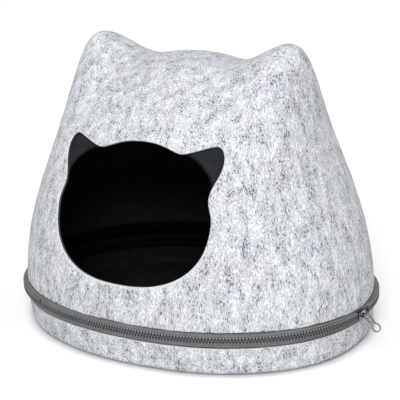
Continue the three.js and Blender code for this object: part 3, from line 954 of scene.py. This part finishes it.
# the slider sits on one flat facet of the belt: x along the zip, y out, z up
slider = {
    "facet": (-1 / 48, 0.0), "toothless": (0.0017, 0.017),
    "plateOut": 0.0057, "faceOut": 0.0069, "footOut": 0.0027, "wall": 0.001,
    "stations": [(0.0065, 0.0036), (0.0055, 0.0042), (0.001, 0.0044), (-0.0035, 0.0050), (-0.0065, 0.0050)],
    "backPlate": ((-0.0065, 0.0002, -0.003), (0.0065, 0.0012, 0.003)),
    "post": ((-0.0045, 0.0003, -0.0007), (-0.002, 0.0062, 0.0007)),
    "halfBridge": 0.0035, "leg": 0.0011, "bend": 0.0016, "bendSteps": 4, "archTop": 0.012, "footSunk": 0.0003,
    "bridgeHeight": 0.0014, "round": 0.00025, "sharp": 0.9, "faceFrom": 0.7,
}
pull = {
    "thickness": 0.0014, "droop": 43.0, "slip": 0.0019, "hingeOut": 0.0089, "bar": 0.001, "eyeEnd": 0.0095,
    "eyeHalf": 0.0036, "eyeHole": (0.0005, 0.0044, 0.0024), "window": (0.0055, 0.0087, 0.0022),
    "shoulder": 0.0008, "neckHalf": 0.003, "ringCentre": 0.0175, "ringRadius": 0.0051, "ringHole": 0.004,
    "ringSteps": 28, "cornerCut": 0.0008, "round": 0.0002, "sharp": 1.3, "faceFrom": 0.7,
}


def sliderPlace():
    start, end = (beltPoint(turn) for turn in slider["facet"])
    along = (end - start).normalized()
    middle = (start + end) / 2
    return Matrix((
        (-along.x, along.y, 0, middle.x),
        (-along.y, -along.x, 0, middle.y),
        (0, 0, 1, belt["height"]),
        (0, 0, 0, 1),
    ))


teethMaterials = [toothMaterial("toothFront", toothFront), toothMaterial("toothFlankShade", toothFlankShade)]
makeTeeth("teethUpper", 1, teethMaterials, "zip_teeth_upper")
makeTeeth("teethLower", -1, teethMaterials, "zip_teeth_lower")

# slider and pull
def metalMaterial(name, look):
    material, tree, shader, place = newMaterial(name)
    spot = place.outputs["Object"]
    streaks = noiseNode(tree, mapped(tree, spot, look["brushed"]), 1.0).outputs[0]
    # patches of painted reflection, darker or lighter than the brushed streaks
    reflectionPatch = noiseNode(tree, spot, look["reflectionSize"], 2.0, 0.6).outputs[0]
    colour = mixColour(tree, softStep(tree, streaks, *look["mixFrom"]), look["dark"], look["light"])
    colour = mixColour(tree, softStep(tree, reflectionPatch, *look["reflectionFrom"]), colour, look["reflectionTone"])
    feed(
        tree, shader, Base_Color=colour, Normal=bumpNormal(tree, *look["bump"], streaks), Metallic=1.0,
        Roughness=softStep(tree, reflectionPatch, *look["mixFrom"], *look["roughness"]),
    )
    return material


# the pull's face; its patch colour is painted reflection
nickel = {
    "brushed": (900.0, 900.0, 3000.0), "dark": (0.46, 0.46, 0.47, 1), "light": (0.72, 0.72, 0.73, 1),
    "reflectionTone": (0.20, 0.19, 0.18, 1), "reflectionSize": 420.0, "reflectionFrom": (0.55, 0.75, 0.0, 0.5),
    "mixFrom": (0.3, 0.7), "roughness": (0.24, 0.42), "bump": (0.12, 0.0001),
}
# darker copy for the pull's edges: painted shade, with lighter patches of painted reflection
nickelEdgeShade = {
    **nickel, "dark": (0.10, 0.10, 0.105, 1), "light": (0.17, 0.17, 0.175, 1), "reflectionTone": (0.26, 0.25, 0.24, 1),
}
# the slider's face: near-black patches of painted reflection among the bright streaks
polished = {
    **nickel, "dark": (0.55, 0.55, 0.56, 1), "light": (0.9, 0.9, 0.91, 1), "reflectionTone": (0.02, 0.02, 0.022, 1),
    "reflectionFrom": (0.44, 0.54, 0.0, 0.96), "roughness": (0.18, 0.3),
}
# darker copy for the slider's sides: painted shade
polishedEdgeShade = {**polished, "dark": (0.03, 0.03, 0.032, 1), "light": (0.07, 0.07, 0.072, 1)}
nickelFaceMaterial = metalMaterial("nickelFace", nickel)
nickelEdgeShadeMaterial = metalMaterial("nickelEdgeShade", nickelEdgeShade)
polishedMaterial = metalMaterial("polishedFace", polished)
polishedEdgeShadeMaterial = metalMaterial("polishedEdgeShade", polishedEdgeShade)


def blockBetween(bm, low, high):
    made = bmesh.ops.create_cube(bm, size=1)["verts"]
    low, high = Vector(low), Vector(high)
    bmesh.ops.scale(bm, vec=high - low, verts=made)
    bmesh.ops.translate(bm, vec=(low + high) / 2, verts=made)


def makeSlider():
    bm = bmesh.new()
    # channel: front plate with turned-in sides, narrow at its tail and wide at its mouth
    face, foot, wall, plate = (slider[key] for key in ("faceOut", "footOut", "wall", "plateOut"))
    section = [
        (foot, 1, 0), (face, 1, 0), (face, -1, 0), (foot, -1, 0),
        (foot, -1, wall), (plate, -1, wall), (plate, 1, -wall), (foot, 1, -wall),
    ]
    tail, tailHeight = slider["stations"][0]
    corners = [bm.verts.new((tail, out, side * tailHeight + inward)) for out, side, inward in section]
    end = bm.faces.new(corners)
    for along, halfHeight in slider["stations"][1:]:
        end = extrudeBy(bm, end, (0, 0, 0))
        for v in end.verts:
            v.co = (along, v.co.y, v.co.z + math.copysign(halfHeight - tailHeight, v.co.z))
        tailHeight = halfHeight
    start = bm.faces.new(list(reversed(corners)))
    start.normal_update()
    blockBetween(bm, *slider["backPlate"])
    blockBetween(bm, *slider["post"])
    # bridge: a bar from the plate and back to it; both bends turn towards the plate, so the bar folds
    # through its own legs and its crossbar lies 2.1 mm lower than the CAD's, across the pull's eye
    leg, bend, half = slider["leg"], slider["bend"], slider["halfBridge"]
    sole = bmesh.ops.create_grid(bm, x_segments=1, y_segments=1, size=0.5)["verts"]
    sunk = slider["footSunk"]
    for v in sole:
        v.co = (half - leg / 2 + v.co.x * leg, plate - sunk, v.co.y * slider["bridgeHeight"])
    bar = sole[0].link_faces[0]
    corners = [loop.vert for loop in bar.loops]
    rise = slider["archTop"] - plate - bend
    bar = extrudeBy(bm, bar, (0, rise + sunk, 0))
    bm.faces.new(list(reversed(corners)))
    bar = spinFace(bm, bar, (half - bend, plate + rise, 0), -90)
    bar = extrudeBy(bm, bar, (-2 * (half - bend), 0, 0))
    bar = spinFace(bm, bar, (bend - half, plate + rise, 0), -90)
    extrudeBy(bm, bar, (0, -rise - sunk, 0))
    bmesh.ops.recalc_face_normals(bm, faces=bm.faces[:])
    # side faces take the darker copy: painted shade
    for f in bm.faces:
        f.material_index = 0 if abs(f.normal.y) > slider["faceFrom"] else 1
    roundEdges(bm, slider["round"], 2, slider["sharp"])
    bmesh.ops.transform(bm, matrix=sliderPlace(), verts=bm.verts[:])
    bmesh.ops.recalc_face_normals(bm, faces=bm.faces[:])
    makePiece("sliderBody", bm, [polishedMaterial, polishedEdgeShadeMaterial], "zip_slider")


def extrudeBy(bm, face, step):
    made = bmesh.ops.extrude_face_region(bm, geom=[face])["geom"]
    bmesh.ops.delete(bm, geom=[face], context="FACES_ONLY")
    end = next(item for item in made if isinstance(item, bmesh.types.BMFace))
    bmesh.ops.translate(bm, vec=step, verts=end.verts[:])
    return end


def spinFace(bm, face, centre, degrees):
    made = bmesh.ops.spin(
        bm, geom=[face], cent=centre, axis=(0, 0, 1), angle=math.radians(degrees), steps=slider["bendSteps"],
    )["geom_last"]
    bmesh.ops.delete(bm, geom=[face], context="FACES_ONLY")
    return next(item for item in made if isinstance(item, bmesh.types.BMFace))


def arcPoints(centre, radius, start, stop, steps):
    return [
        Vector((
            centre + radius * math.cos(start + (stop - start) * step / steps),
            radius * math.sin(start + (stop - start) * step / steps),
        ))
        for step in range(steps + 1)
    ]


def addLoop(bm, points):
    verts = [bm.verts.new((p[0], p[1], 0)) for p in points]
    return [bm.edges.new((a, b)) for a, b in zip(verts, verts[1:] + verts[:1])]


def makePull():
    # flat tab: an eye round the bridge, a neck and a ring
    bm = bmesh.new()
    neck, radius, centre = pull["neckHalf"], pull["ringRadius"], pull["ringCentre"]
    meet = math.asin(neck / radius)
    eyeStart, eyeEnd, wide = -pull["bar"] / 2, pull["eyeEnd"], pull["eyeHalf"]
    cut = pull["cornerCut"]
    shoulder = eyeEnd + pull["shoulder"]
    around = [(eyeStart, cut - wide), (eyeStart + cut, -wide), (eyeEnd, -wide), (shoulder, -neck)]
    ring = arcPoints(centre, radius, -math.pi + meet, math.pi - meet, pull["ringSteps"])
    back = [(x, -y) for x, y in reversed(around)]
    edges = addLoop(bm, around + ring + back)
    for start, end, half in (pull["eyeHole"], pull["window"]):
        nip = cut / 2
        lower = [(start, nip - half), (start + nip, -half), (end - nip, -half), (end, nip - half)]
        edges += addLoop(bm, lower + [(x, -y) for x, y in reversed(lower)])
    edges += addLoop(bm, arcPoints(centre, pull["ringHole"], 0, 2 * math.pi, pull["ringSteps"])[:-1])
    bmesh.ops.triangle_fill(bm, edges=edges, use_beauty=True, use_dissolve=False, normal=(0, 0, 1))
    bmesh.ops.dissolve_limit(bm, angle_limit=0.01, verts=bm.verts[:], edges=bm.edges[:], delimit=set())
    made = bmesh.ops.extrude_face_region(bm, geom=bm.faces[:])["geom"]
    top = [item for item in made if isinstance(item, bmesh.types.BMVert)]
    bmesh.ops.translate(bm, vec=(0, 0, pull["thickness"]), verts=top)
    bmesh.ops.recalc_face_normals(bm, faces=bm.faces[:])
    # edges and their rounding take the darker copy: painted shade
    for face in bm.faces:
        face.material_index = 0 if abs(face.normal.z) > pull["faceFrom"] else 1
    roundEdges(bm, pull["round"], 2, pull["sharp"], 1)
    droop = math.radians(pull["droop"])
    stand = Matrix((
        (0, 0, 1, 0),
        (math.cos(droop), math.sin(droop), 0, pull["hingeOut"]),
        (-math.sin(droop), math.cos(droop), 0, 0),
        (0, 0, 0, 1),
    ))
    seat = Matrix.Translation((0, pull["slip"], -pull["thickness"] / 2))
    bmesh.ops.transform(bm, matrix=sliderPlace() @ stand @ seat, verts=bm.verts[:])
    bmesh.ops.recalc_face_normals(bm, faces=bm.faces[:])
    makePiece("pullTab", bm, [nickelFaceMaterial, nickelEdgeShadeMaterial], "zip_pull")


makeSlider()
makePull()

# floor and light
studio = {
    "floorSize": 8.0, "world": 0.44, "keyEnergy": 2.65, "keySpread": 30.0, "keyFrom": (1.04, -2.05, 1.8),
    "floorSeen": (0.95, 0.95, 0.95, 1), "floorBounce": (0.6, 0.6, 0.6, 1), "floorGlow": 0.14,
    # the floor's grey and ambient occlusion range below give a painted contact shadow near the house
    "contactShadowTone": (0.56, 0.56, 0.57, 1), "contactReach": 0.018, "contact": (0.25, 0.85),
    "floorRough": 0.7, "floorGloss": 0.1,
}


def makeStudio():
    bm = bmesh.new()
    bmesh.ops.create_grid(bm, x_segments=1, y_segments=1, size=studio["floorSize"])
    floor = addObject("floor", toMesh("floor", bm))
    material, tree, shader = newMaterial("paleFloor")[:3]
    seen = tree.nodes.new("ShaderNodeLightPath").outputs["Is Camera Ray"]
    # painted contact shadow: where the house is near, ambient occlusion turns the floor grey and dims its
    # glow
    under = addNode(tree, "ShaderNodeAmbientOcclusion", samples=16)
    feed(tree, under, Distance=studio["contactReach"])
    clear = softStep(tree, under.outputs["AO"], *studio["contact"])
    tone = mixColour(tree, clear, studio["contactShadowTone"], studio["floorSeen"])
    tone = mixColour(tree, seen, studio["floorBounce"], tone)
    glow = mathNode(tree, "MULTIPLY", mathNode(tree, "MULTIPLY", seen, clear), studio["floorGlow"])
    feed(
        tree, shader, Base_Color=tone, Emission_Color=(1, 1, 1, 1), Emission_Strength=glow,
        Roughness=studio["floorRough"], Specular_IOR_Level=studio["floorGloss"],
    )
    floor.data.materials.append(material)

    world = bpy.data.worlds.new("studio")
    world.use_nodes = True
    background = world.node_tree.nodes["Background"]
    background.inputs["Color"].default_value = (1, 1, 1, 1)
    background.inputs["Strength"].default_value = studio["world"]
    bpy.context.scene.world = world

    data = bpy.data.lights.new("key", "SUN")
    data.angle = math.radians(studio["keySpread"])
    data.energy = studio["keyEnergy"]
    key = addObject("key", data)
    key.rotation_euler = Vector(studio["keyFrom"]).to_track_quat("Z", "Y").to_euler()
    bpy.context.scene.view_settings.view_transform = "Standard"


makeStudio()
print("studio lit")
